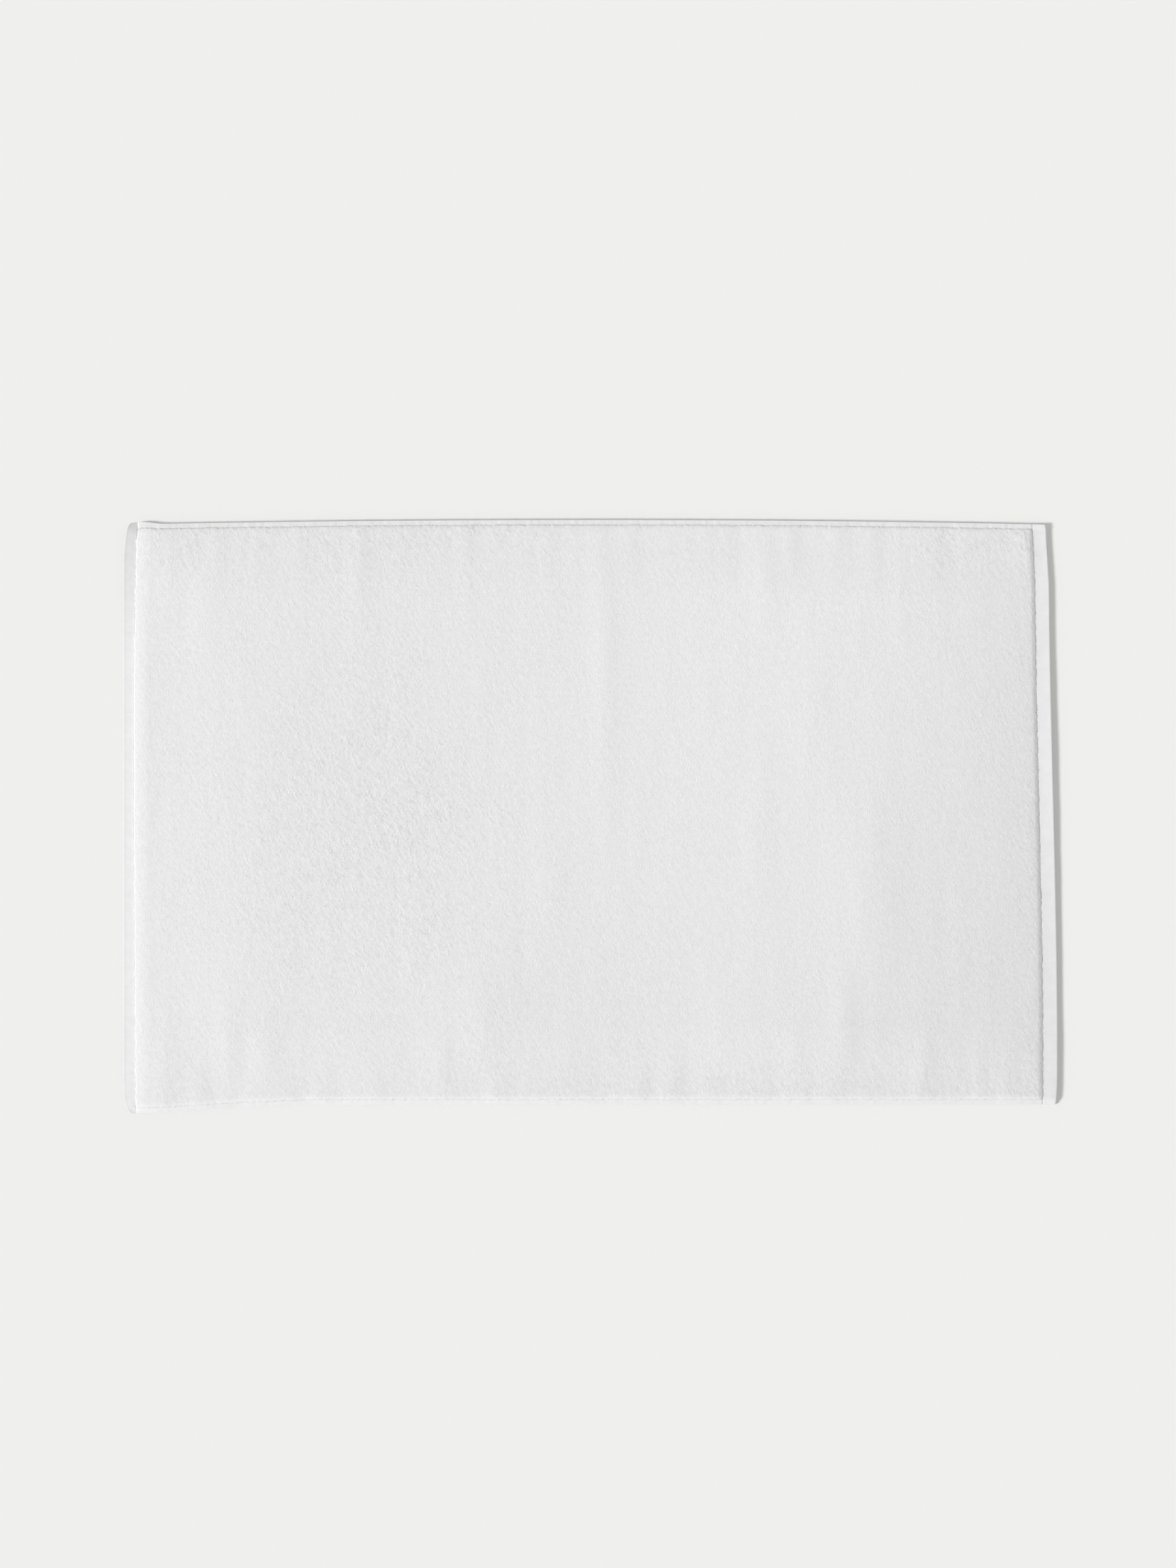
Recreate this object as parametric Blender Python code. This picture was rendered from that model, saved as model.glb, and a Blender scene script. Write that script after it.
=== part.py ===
"""A terry bath mat, lying flat: ground cloth, looped pile on both faces, four folded hems and their seams.

The frame is +X along the mat's length, +Y towards its back edge and +Z up. The origin is on the
floor, below the middle of the mat. Everything is in metres.

Each piece is drawn on the flat mat first, as a straight rectangle, and laid() then moves its points to
where the cloth really lies: the right end leans in towards the back, and the back edge bows out a little.
"""

import math

import bmesh
import bpy

# The mat as a whole
LENGTH = 0.800
WIDTH = 0.500
HALF_LENGTH = LENGTH / 2
HALF_WIDTH = WIDTH / 2
BACK_RIGHT_PULL = 0.0072  # how far the back right corner lies in from a true rectangle
PULL_START = 0.10  # how far back the right end starts to lean in, as a share of the width
PULL_END = 0.95  # and where the lean ends
BACK_BOW = 0.004  # how far the back corners lie in front of the middle of the back edge

# The clearance between two pieces that touch
GAP = 0.0003

# The cloth and the thread
CLOTH = 0.0007
THREAD_WIDTH = 0.0004
THREAD_HEIGHT = 0.0003

# Heights, from the floor up
HEM_BOTTOM = THREAD_HEIGHT + GAP
HEM_LAYERS = 3
HEM_HEIGHT = HEM_LAYERS * CLOTH + (HEM_LAYERS - 1) * GAP
HEM_TOP = HEM_BOTTOM + HEM_HEIGHT
GROUND_TOP = HEM_TOP
GROUND_BOTTOM = GROUND_TOP - CLOTH
UNDERSIDE_PILE_TOP = GROUND_BOTTOM - GAP
TOP_PILE_BOTTOM = GROUND_TOP + GAP
TOP_PILE_HEIGHT = 0.0016
TOP_PILE_TOP = TOP_PILE_BOTTOM + TOP_PILE_HEIGHT

# The width of each hem, from the mat's edge to the pile
HEM_WIDTHS = {"left": 0.0092, "right": 0.0125, "back": 0.0044, "front": 0.0044}
SEAM_INSET = 0.0012  # from a hem's inner edge to the middle of its seam
SEAM_END = 0.0015  # how far a seam stops short of its hem's ends

# Rounded edges and how finely curves are cut
PILE_CORNER = 0.0025  # corner radius in plan
PILE_ROUNDING = 0.0008  # radius along the pile's outer edges
CORNER_STEPS = 4
FOLD_STEPS = 6
LENGTH_STEPS = 24
WIDTH_STEPS = 12

# Finishes
PILE_WHITE = (0.86, 0.86, 0.85, 1.0)
CLOTH_WHITE = (0.84, 0.84, 0.83, 1.0)
THREAD_WHITE = (0.88, 0.88, 0.87, 1.0)
PILE_ROUGHNESS = 0.95
CLOTH_ROUGHNESS = 0.85
THREAD_ROUGHNESS = 0.6


def clear_scene():
    """Start from an empty scene."""
    for obj in list(bpy.data.objects):
        bpy.data.objects.remove(obj, do_unlink=True)


def eased(value):
    """A smooth step: 0 below 0, 1 above 1 and an even curve between them."""
    step = min(1.0, max(0.0, value))
    return step * step * (3 - 2 * step)


def laid(x, y):
    """Where a point of the straight, flat mat lies once the cloth is on the floor."""
    towards_back = (y + HALF_WIDTH) / WIDTH
    towards_right = max(0.0, x / HALF_LENGTH)
    lean = eased((towards_back - PULL_START) / (PULL_END - PULL_START))
    pulled_in = BACK_RIGHT_PULL * lean * towards_right**2
    bowed_in = BACK_BOW * towards_back * (x / HALF_LENGTH) ** 2
    return x - pulled_in, y - bowed_in


def spread(start, end, steps):
    """The evenly spaced values from start to end, both included."""
    return [start + (end - start) * i / steps for i in range(steps + 1)]


def arc(centre, radius, start, end, steps):
    """Points on an arc between two angles in degrees, both ends included."""
    return [
        (centre[0] + radius * math.cos(angle), centre[1] + radius * math.sin(angle))
        for angle in (math.radians(degrees) for degrees in spread(start, end, steps))
    ]


def fabric(name, colour, roughness):
    """A matt, undyed textile."""
    material = bpy.data.materials.new(name)
    material.use_nodes = True
    shader = material.node_tree.nodes["Principled BSDF"]
    shader.inputs["Base Color"].default_value = colour
    shader.inputs["Roughness"].default_value = roughness
    shader.inputs["Metallic"].default_value = 0.0
    return material


def add_object(name, mesh_builder, material):
    """Make an object from a bmesh, with its faces pointing out, and give it its material."""
    bmesh.ops.recalc_face_normals(mesh_builder, faces=mesh_builder.faces)
    mesh = bpy.data.meshes.new(name)
    mesh_builder.to_mesh(mesh)
    mesh_builder.free()
    mesh.materials.append(material)
    obj = bpy.data.objects.new(name, mesh)
    bpy.context.scene.collection.objects.link(obj)
    return obj


def loft(rings):
    """A closed body through rings of 3-D points, each ring closed on itself, with flat faces on both ends."""
    built = bmesh.new()
    loops = [[built.verts.new(point) for point in ring] for ring in rings]
    for lower, upper in zip(loops, loops[1:]):
        for i in range(len(lower)):
            j = (i + 1) % len(lower)
            built.faces.new((lower[i], lower[j], upper[j], upper[i]))
    built.faces.new(loops[0][::-1])
    built.faces.new(loops[-1])
    return built


def panel_outline(inset):
    """The outline of the area inside the hems, drawn in by an inset, with rounded corners and laid on the floor."""
    left = -HALF_LENGTH + HEM_WIDTHS["left"] + GAP + inset
    right = HALF_LENGTH - HEM_WIDTHS["right"] - GAP - inset
    front = -HALF_WIDTH + HEM_WIDTHS["front"] + GAP + inset
    back = HALF_WIDTH - HEM_WIDTHS["back"] - GAP - inset
    radius = PILE_CORNER - inset
    corners = (
        (right - radius, back - radius, 0),
        (left + radius, back - radius, 90),
        (left + radius, front + radius, 180),
        (right - radius, front + radius, 270),
    )
    outline = []
    for number, (x, y, start) in enumerate(corners):
        rounded = arc((x, y), radius, start, start + 90, CORNER_STEPS)
        after = corners[(number + 1) % len(corners)]
        next_point = arc(after[:2], radius, after[2], after[2] + 90, CORNER_STEPS)[0]
        steps = LENGTH_STEPS if number % 2 == 0 else WIDTH_STEPS
        xs = spread(rounded[-1][0], next_point[0], steps)[1:-1]
        ys = spread(rounded[-1][1], next_point[1], steps)[1:-1]
        outline += rounded + list(zip(xs, ys))
    return [laid(x, y) for x, y in outline]


def panel(name, levels, material):
    """A sheet that fills the area inside the hems. levels lists (inset, height) from the bottom up."""
    rings = [[(x, y, z) for x, y in panel_outline(inset)] for inset, z in levels]
    return add_object(name, loft(rings), material)


def ground_cloth():
    """The flat weave that holds both piles, level with the hems' top layer."""
    material = fabric("ground_weave", CLOTH_WHITE, CLOTH_ROUGHNESS)
    return panel("ground_cloth", [(0.0, GROUND_BOTTOM), (0.0, GROUND_TOP)], material)


def rounding(height, centre_height, up):
    """(inset, height) levels of a quarter round between a pile's side wall and its flat face."""
    angles = spread(0, 90, CORNER_STEPS) if up else spread(90, 0, CORNER_STEPS)
    return [
        (
            PILE_ROUNDING * (1 - math.cos(math.radians(angle))),
            centre_height + (height - centre_height) * math.sin(math.radians(angle)),
        )
        for angle in angles
    ]


def top_pile():
    """The loops of the upper face, as one soft sheet with a rounded upper edge."""
    material = fabric("top_loops", PILE_WHITE, PILE_ROUGHNESS)
    rounded = rounding(TOP_PILE_TOP, TOP_PILE_TOP - PILE_ROUNDING, up=True)
    return panel("top_pile", [(0.0, TOP_PILE_BOTTOM)] + rounded, material)


def underside_pile():
    """The loops of the lower face. The mat rests on its flat bottom."""
    material = fabric("underside_loops", PILE_WHITE, PILE_ROUGHNESS)
    rounded = rounding(0.0, PILE_ROUNDING, up=False)
    return panel("underside_pile", rounded + [(0.0, UNDERSIDE_PILE_TOP)], material)


def hem_section(width):
    """A twice-folded strip in section: (distance from the mat's edge, height).

    From the ground cloth it runs out to the mat's edge, folds down and back under itself, folds up at
    its inner edge and ends tucked between the other two layers.
    """
    outer_radius = HEM_HEIGHT / 2
    outer_centre = (outer_radius, HEM_BOTTOM + outer_radius)
    inner_radius = CLOTH + GAP / 2
    inner_centre = (width - inner_radius, HEM_BOTTOM + inner_radius)
    tucked_end = outer_radius
    outside = (
        [(width, HEM_TOP)]
        + arc(outer_centre, outer_radius, 90, 270, FOLD_STEPS)
        + arc(inner_centre, inner_radius, -90, 90, FOLD_STEPS)
        + [(tucked_end, inner_centre[1] + inner_radius)]
    )
    inside = (
        [(tucked_end, inner_centre[1] + GAP / 2)]
        + arc(inner_centre, GAP / 2, 90, -90, FOLD_STEPS)
        + arc(outer_centre, outer_radius - CLOTH, 270, 90, FOLD_STEPS)
        + [(width, HEM_TOP - CLOTH)]
    )
    return outside + inside


def end_side(side, distance, along):
    """The flat mat's point that is a distance in from the left or right end, along its width."""
    sign = -1 if side == "left" else 1
    return sign * (HALF_LENGTH - distance), along


def long_side(side, distance, along):
    """The flat mat's point that is a distance in from the front or back edge, along its length."""
    sign = -1 if side == "front" else 1
    return along, sign * (HALF_WIDTH - distance)


def edge_of(side):
    """How a mat edge is drawn: its point function, where its hem starts and ends, and its number of steps."""
    if side in ("left", "right"):
        return end_side, -HALF_WIDTH, HALF_WIDTH, WIDTH_STEPS
    start = -HALF_LENGTH + HEM_WIDTHS["left"] + GAP
    end = HALF_LENGTH - HEM_WIDTHS["right"] - GAP
    return long_side, start, end, LENGTH_STEPS


def strip_along(name, side, section, trim, material):
    """Sweep a section along one edge of the mat, trimmed at both ends."""
    point_of, start, end, steps = edge_of(side)
    rings = [
        [(*laid(*point_of(side, distance, along)), z) for distance, z in section]
        for along in spread(start + trim, end - trim, steps)
    ]
    return add_object(name, loft(rings), material)


def hem(side):
    """The folded border along one edge."""
    name = f"{side}_end_hem" if side in ("left", "right") else f"{side}_side_hem"
    material = fabric(f"{side}_hem_weave", CLOTH_WHITE, CLOTH_ROUGHNESS)
    return strip_along(name, side, hem_section(HEM_WIDTHS[side]), 0.0, material)


def thread_section(side, bottom):
    """The flattened section of a seam's thread, with its bottom at a height."""
    middle = HEM_WIDTHS[side] - SEAM_INSET
    near = middle - THREAD_WIDTH / 2
    far = middle + THREAD_WIDTH / 2
    top = bottom + THREAD_HEIGHT
    return [(near, bottom), (far, bottom), (far, top), (near, top)]


def needle_thread(side):
    """The upper thread of a hem's seam, lying on the hem's top layer."""
    material = fabric(f"{side}_needle_cotton", THREAD_WHITE, THREAD_ROUGHNESS)
    section = thread_section(side, HEM_TOP + GAP)
    return strip_along(f"{side}_needle_thread", side, section, SEAM_END, material)


def bobbin_thread(side):
    """The lower thread of a hem's seam, under the hem's bottom layer."""
    material = fabric(f"{side}_bobbin_cotton", THREAD_WHITE, THREAD_ROUGHNESS)
    section = thread_section(side, 0.0)
    return strip_along(f"{side}_bobbin_thread", side, section, SEAM_END, material)


def build_mat():
    """Make every piece of the mat."""
    clear_scene()
    ground_cloth()
    top_pile()
    underside_pile()
    for side in HEM_WIDTHS:
        hem(side)
        needle_thread(side)
        bobbin_thread(side)


build_mat()
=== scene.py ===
"""The looks of a white terry bath mat that lies on a pale floor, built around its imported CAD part.

Everything is in metres, in the part's own frame: +X along the mat, +Y towards its back edge, +Z up.
Pieces are drawn on the straight, flat mat first. laid() then moves their points to where the cloth lies on
the floor, and lift() adds how far it stands off the floor there.
"""

import math

import bpy
import numpy as np
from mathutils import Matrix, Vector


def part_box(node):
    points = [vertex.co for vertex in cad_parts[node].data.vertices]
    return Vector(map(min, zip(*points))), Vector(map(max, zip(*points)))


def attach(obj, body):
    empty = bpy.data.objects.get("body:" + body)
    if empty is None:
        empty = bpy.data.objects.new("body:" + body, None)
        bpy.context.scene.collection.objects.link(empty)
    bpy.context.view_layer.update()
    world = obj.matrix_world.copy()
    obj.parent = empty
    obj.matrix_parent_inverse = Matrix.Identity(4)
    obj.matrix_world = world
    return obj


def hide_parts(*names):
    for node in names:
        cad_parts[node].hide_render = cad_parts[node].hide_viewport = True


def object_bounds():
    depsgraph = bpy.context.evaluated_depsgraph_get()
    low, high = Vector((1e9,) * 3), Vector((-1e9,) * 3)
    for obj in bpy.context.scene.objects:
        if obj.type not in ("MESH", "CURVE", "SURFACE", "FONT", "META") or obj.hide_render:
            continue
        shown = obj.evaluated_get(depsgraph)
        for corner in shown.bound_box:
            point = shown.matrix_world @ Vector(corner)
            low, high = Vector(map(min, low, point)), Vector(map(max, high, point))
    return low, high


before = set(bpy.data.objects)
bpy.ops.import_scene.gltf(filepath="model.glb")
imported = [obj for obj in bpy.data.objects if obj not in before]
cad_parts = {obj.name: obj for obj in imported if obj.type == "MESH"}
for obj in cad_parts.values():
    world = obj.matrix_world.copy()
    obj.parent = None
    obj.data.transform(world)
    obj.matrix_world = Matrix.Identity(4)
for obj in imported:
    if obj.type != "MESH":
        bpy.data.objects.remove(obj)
cad_low, cad_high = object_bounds()

# The mat's size, from the frame
pile_low, pile_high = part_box("top_pile")
cloth_low, cloth_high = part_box("ground_cloth")
hem_low, hem_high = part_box("front_side_hem")
HALF_LENGTH = cad_high.x
HALF_WIDTH = cad_high.y
HEM_HEIGHT = hem_high.z - hem_low.z
SIDES = ("left", "right", "back", "front")
HEM_WIDTHS = {
    "left": pile_low.x - cad_low.x,
    "right": cad_high.x - pile_high.x,
    "back": cad_high.y - pile_high.y,
    "front": pile_low.y - cad_low.y,
}

# How the cloth lies: the right end leans in towards the back and the back edge bows, as in the CAD part,
# and the front edge is drawn out a little, most of all at its left corner
BACK_RIGHT_PULL = 0.0072
PULL_START = 0.10
PULL_END = 0.95
BACK_BOW = 0.004
BACK_RIGHT_TUCK = 0.0026  # how far the back right corner is drawn in besides
TUCK_LENGTH = 0.060
FRONT_CREEP = 0.0010
FRONT_LEFT_DRAW = 0.0075
FRONT_DRAW_START = 0.45  # how far left of the middle the front edge starts to be drawn out, as a share
# How much wider the left hem grows towards its back end and its front end
LEFT_WIDENING = (0.0029, 0.0015)
BACK_WIDENING_START = 0.10
BACK_WIDENING_POWER = 1.7
WIDENING_FADE = 0.030  # how far into the pile the widening is still felt
# The back left corner stands out past the back edge
CORNER_LUMP = 0.0020
CORNER_LUMP_X = -0.386
CORNER_LUMP_HALF_WIDTH = 0.011
CORNER_LUMP_LENGTH = 0.010

# The broad rise in the middle of the mat, which is fuller than its flat hems
LEFT_RISE = 0.0022
LEFT_RISE_LENGTH = 0.110
MIDDLE_RISE = 0.0022
MIDDLE_RISE_START = 0.03
MIDDLE_RISE_LENGTH = 0.230
RIGHT_FALL = 0.122  # how far in from the right hem the rise starts to fall away
FRONT_CHANGE = 1.2  # how quickly the rise changes from its shape at the back to its shape at the front
FRONT_EXTRA_RISE = 0.35  # how much higher it is at the front, as a share
FRONT_EXTRA_FALL = 0.4  # how much further in it starts to fall away at the front, as a share
EDGE_FADE = 0.070  # how far in from the front and back edges the rise is complete

# How much thinner the mat is pressed at its left and front hems, and how far in from the pile's left edge
LEFT_PRESS = 0.30
LEFT_PRESS_REACH = 0.013
# How much thinner still the left hem itself is pressed, at its inner and outer edges
LEFT_HEM_PRESS = (0.48, 0.70)
FRONT_PRESS = 0.62

# Shallow ripples: (height, cell across, cell along, seed)
BACK_RIPPLES = (0.00030, 0.0140, 0.090, 1)
FRONT_RIPPLES = (0.00042, 0.0150, 0.080, 2)
ALL_RIPPLES = (0.00008, 0.0120, 0.060, 3)
RIPPLE_REACH = 0.050  # how far in from the back and front edges their ripples reach

# Folds and ripples start this far outside the mat's edges, and are complete over this length
LIFT_OUTSIDE = 0.002
LIFT_LENGTH = 0.010

# Soft folds that run across the mat: (x, y, half width, half length, height)
FOLDS = (
    (0.012, 0.130, 0.011, 0.130, 0.00055),
    (-0.033, -0.060, 0.012, 0.060, 0.00030),
    (0.145, -0.030, 0.014, 0.080, 0.00035),
    (0.195, 0.090, 0.018, 0.070, 0.00040),
    (0.238, -0.060, 0.030, 0.090, 0.00110),
    (-0.092, -0.195, 0.014, 0.050, 0.00050),
    (0.120, -0.200, 0.022, 0.050, 0.00060),
    (0.216, -0.180, 0.011, 0.050, 0.00070),
    (-0.330, 0.190, 0.016, 0.060, 0.00060),
    (-0.128, -0.220, 0.009, 0.030, 0.00050),
    (0.284, -0.220, 0.010, 0.040, 0.00065),
    (-0.087, -0.165, 0.050, 0.035, 0.00130),
    (0.185, -0.205, 0.055, 0.040, 0.00150),
    (-0.276, -0.215, 0.011, 0.040, 0.00065),
    (-0.366, -0.205, 0.010, 0.045, 0.00060),
    (-0.311, -0.200, 0.010, 0.060, 0.00040),
    (-0.362, 0.205, 0.011, 0.040, 0.00035),
    (0.331, -0.225, 0.007, 0.030, 0.00040),
    (0.150, 0.215, 0.013, 0.045, 0.00050),
    (-0.200, 0.210, 0.010, 0.040, 0.00045),
)

# The cloth and its folds in the hems
CLOTH = 0.0007
GAP = 0.0003
PRESSED = 0.0002  # how far a pressed fold's round runs in from its edge
TURNED_UNDER = 0.0007  # how far the lower cloth of a hem is set back under its edge
TUCKED_END = 0.0012  # how far short of a hem's edge the cut end of its cloth lies, inside the folds

# Every hem ripples a little, and less and less over its inner quarter
HEM_STEP = 0.0010  # from one drawn section to the next
HEM_RIPPLE = 0.00009
BACK_HEM_RIPPLE = 0.00014
HEM_RIPPLE_CELL = 0.0035
LOWER_CLOTH_RISE = 0.3  # the share of a rise that a hem's lower cloth follows; the left hem rises as a whole

# The left hem stands up over its outer fifth, and all over towards its two ends
LEFT_LIP = 0.00015
CURL_LENGTH = 0.120
CURL_HEIGHT = 0.0027
CURL_POWER = 1.4
ROLL_LENGTH = 0.0060  # over the last of its back end it rolls down again
ROLL_DEPTH = 0.0018
ROLL_POWER = 1.5
FRONT_CURL_LENGTH = 0.100
FRONT_CURL_HEIGHT = 0.0007

# The right hem sags between its pile and its outer edge, stands up along that edge, and has a square back end
RIGHT_SAG = 0.00016
RIGHT_SAG_TURN = 0.8 * math.pi
RIGHT_LIP = 0.00035
RIGHT_LIP_WAVES = 0.00020
RIGHT_LIP_CELL = 0.05
RIGHT_BULGE = 0.00050
RIGHT_BULGE_Y = 0.070
RIGHT_BULGE_HALF_LENGTH = 0.090
SQUARE_END = 0.00045
SQUARE_END_START = 0.0052
SQUARE_END_STEP = 0.0008
SQUARE_END_FADE = 0.7

# How the end hems' outer edges draw in towards the back (1) and the front (-1): the length and the depth
CORNER_TAPERS = {
    ("left", 1): (0.042, 0.0046),
    ("left", -1): (0.022, 0.0070),
    ("right", 1): (0.008, 0.0012),
    ("right", -1): (0.030, 0.0022),
}

# The pile: one rib of loops to each pair of warp threads, one loop to each pick
RIB_PITCH = 0.0016
PICK_PITCH = 0.00158
COLUMNS_PER_RIB = 2
ROWS_PER_PICK = 3
PILE_HEIGHT = 0.0010  # from the ground cloth up to the valleys between the ribs
LOOP_HEIGHT = 0.0005  # from the valleys up to the loops' crowns
CORNER_RADIUS = 0.0035
RIBS_TO_A_BACKING_CELL = 4
PICKS_TO_A_BACKING_CELL = 3

# One loop of the pile's face: its height along its rib, from 0 in the valley to 1 on an even crown
LOOP_PROFILE = (0.40, 1.0, 0.90)
LOOP_SIZE = 0.85
LOOP_SIZE_SPREAD = 0.28
LOOP_SIZES = (0.2, 1.6)  # the least and the most
LOOP_SLANT = 0.00018  # how far a loop's foot and its far side lie aside of its rib
LOOP_SLANT_SPREAD = 0.00009
VALLEY_HEIGHT = 0.15
VALLEY_SPREAD = 0.00004
LOWEST_UNDERSIDE_LOOP = 0.3
# How much each loop takes after the one below it, and after those below it and one rib on: this makes the
# short slanting streaks of a washed mat
STREAK_STRAIGHT = 0.35
STREAK_ASIDE = 0.50
STREAK_NORM = 1.2  # keeps the spread of sizes the same

# How open the loops stand: everywhere, in a fluffed part and in a flatter part of the middle, which are given
# as (x, y, half width, half length, amount), and near three of the hems, given as (amount, reach)
LOOP_STRENGTH = 0.43
FLUFFED = (-0.196, -0.010, 0.108, 0.150, 0.55)
FLATTENED = (0.130, 0.020, 0.130, 0.170, -0.15)
BACK_FLUFF = (0.50, 0.040)
FRONT_FLUFF = (0.36, 0.040)
RIGHT_FLUFF = (0.36, 0.032)
# Where along the back they stop and start again, and where along the front they start, from left to right,
# and over what lengths
BACK_FLUFF_STOP = 0.040
BACK_FLUFF_STOP_FADE = 0.100
BACK_FLUFF_RESTART = 0.230
BACK_FLUFF_RESTART_FADE = 0.060
FRONT_FLUFF_START = -0.200
FRONT_FLUFF_START_FADE = 0.200
FLUFF_PATCHES = (0.12, 0.030, 0.045, 4)  # at random all over: (amount, cell across, cell along, seed)

# How far in from each edge the pile slopes gently and the share of its height that it keeps there
SHOULDERS = {
    "left": (0.0010, 1.0),
    "right": (0.0080, 0.72),
    "back": (0.0060, 0.72),
    "front": (0.0060, 0.60),
}
# How far in the pile's rim is rounded off and the share of its height that it keeps there
RIMS = {
    "left": (0.0014, 0.97),
    "right": (0.0040, 0.10),
    "back": (0.0018, 0.45),
    "front": (0.0036, 0.10),
}

# How far the pile's edge leans out over each hem, and how ragged it is, given as (depth, cell across, cell
# along, seed)
OVERHANGS = {"left": 0.0003, "right": 0.0001, "back": 0.0001, "front": 0.0003}
RAGGED_ALONG_X = (0.00045, 0.0028, 0.0026, 5)
RAGGED_ALONG_Y = (0.00055, 0.0026, 0.0028, 6)
RAGGED_REACH = 0.0012  # how far in from the edge the points still lean out and are ragged

# The random draws
TOP_SEED = 11
UNDERSIDE_SEED = 12
EDGE_LOOP_SEED = 21
HEM_SEED = 30
RIGHT_LIP_SEED = 40

# The pile's last loops, which lie out over the hem as hairpins of yarn
YARN_RADIUS = 0.00025
HAIRPIN_POINTS = 9
HAIRPIN_HALF_WIDTH = 0.00042
HAIRPIN_SPACING = 0.7 * PICK_PITCH
HAIRPIN_SCATTER = 0.0002
HAIRPIN_INSET = 0.0007  # how far inside the pile's edge their feet stand
HAIRPIN_TURN = 20  # degrees to either side
HAIRPIN_HEIGHTS = {  # above the cloth, at least and at most, in radii of the yarn
    "left": (-0.9, 0.4),
    "right": (-0.9, 0.4),
    "back": (0.6, 1.8),
    "front": (-0.9, 0.4),
}
# How far they reach out over each hem, at least and at most
EDGE_LOOPS = {
    "left": (0.0004, 0.0009),
    "right": (0.0004, 0.0012),
    "back": (0.0005, 0.0012),
    "front": (0.0004, 0.0013),
}

# Each hem's seam
THREAD_RADIUS = 0.00015
STITCH = 0.0030
POINTS_PER_STITCH = 8
SEAM_INSET = 0.0012
SEAM_END = 0.002  # how far a seam stops short of its hem's ends
# How deep a thread lies in the cloth between its stitches, and how far it comes out of it in a stitch
NEEDLE_DEPTH = 0.0003
NEEDLE_RISE = 0.00026
BOBBIN_DEPTH = 0.0002
BOBBIN_FALL = 0.00042

# Finishes
KNOBS_PER_METRE = 780  # the knobs of yarn in the pile's surface
PAINTED_SHADE_DIRECTION = (1.0, -1.2, 0.0)  # painted shade: the mat is painted darker this way, from its middle, for the light that falls off there
PAINTED_SHADE_LENGTH = 0.70  # over this length
DARKEST_PAINTED_SHADE = 0.945  # down to this share of its unshaded colour
FLOOR_COLOUR = (0.86, 0.86, 0.843, 1)
FLOOR_SIZE = 40.0

# The view: the camera looks straight down, and the mat lies a little below the middle of its picture
CAMERA_HEIGHT = 3.0
CAMERA_AIM = (-0.0021, 0.0237)
VIEW_LENGTH = 1.3442  # of floor, from the picture's lower edge to its upper one
SENSOR = 36.0

# Light
KEY_ELEVATION = 31.0
KEY_AZIMUTH = 16.0  # how far in front of due left the key stands
KEY_ANGLE = 13.0
KEY_STRENGTH = 2.77
HORIZON_STRENGTH = 0.86
HORIZON_BAND = 0.25  # the sky stays as bright as at the horizon up to this height, the zenith's being 1
ZENITH_STRENGTH = 0.315


# ---------------------------------------------------------------- helpers


def noise(x, y, cell_x, cell_y, seed):
    """Smooth random values from -1 to 1 over the mat's plane, in cells of a given size."""
    across = (x + 0.5) / cell_x
    along = (y + 0.5) / cell_y
    table = np.random.default_rng(seed).uniform(-1, 1, (int(1 / cell_x) + 3, int(1 / cell_y) + 3))
    i = np.floor(across).astype(int)
    j = np.floor(along).astype(int)
    s = eased(across - i)
    t = eased(along - j)
    near = table[i, j] * (1 - s) + table[i + 1, j] * s
    far = table[i, j + 1] * (1 - s) + table[i + 1, j + 1] * s
    return near * (1 - t) + far * t


def eased(value):
    """A smooth step: 0 below 0, 1 above 1 and an even curve between them."""
    step = np.clip(value, 0, 1)
    return step * step * (3 - 2 * step)


def bell(value):
    """1 at 0, falling smoothly to nothing on both sides."""
    return np.exp(-(value**2))


def spot(x, y, at):
    """A smooth hump over the mat's plane, given as (x, y, half width, half length, height)."""
    centre_x, centre_y, half_width, half_length, height = at
    return height * bell((x - centre_x) / half_width) * bell((y - centre_y) / half_length)


def patches(x, y, kind):
    """Random values over the mat's plane, given as (amount, cell across, cell along, seed)."""
    amount, cell_x, cell_y, seed = kind
    return amount * noise(x, y, cell_x, cell_y, seed)


def add_mesh(name, points, smooth_groups, flat_groups, material):
    """A mesh object with smooth and flat faces, given as arrays with one row of point numbers to a face."""
    face_groups = [*smooth_groups, *flat_groups]
    smooth_count = sum(len(group) for group in smooth_groups)
    corners = np.concatenate([group.ravel() for group in face_groups])
    sizes = np.concatenate([np.full(len(group), group.shape[1]) for group in face_groups])
    starts = np.concatenate([[0], np.cumsum(sizes)[:-1]])
    mesh = bpy.data.meshes.new(name)
    mesh.vertices.add(len(points))
    mesh.vertices.foreach_set("co", np.asarray(points, np.float32).ravel())
    mesh.loops.add(len(corners))
    mesh.loops.foreach_set("vertex_index", corners.astype(np.int32))
    mesh.polygons.add(len(sizes))
    mesh.polygons.foreach_set("loop_start", starts.astype(np.int32))
    mesh.polygons.foreach_set("use_smooth", np.arange(len(sizes)) < smooth_count)
    mesh.update(calc_edges=True)
    mesh.materials.append(material)
    obj = bpy.data.objects.new(name, mesh)
    bpy.context.scene.collection.objects.link(obj)
    return obj


def on_frame(piece, slot, *nodes):
    """Hang a piece on the mat's one body, in place of its CAD nodes."""
    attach(piece, "root")
    if nodes:
        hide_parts(*nodes)
    return piece


# ---------------------------------------------------------------- how the cloth lies


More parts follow.
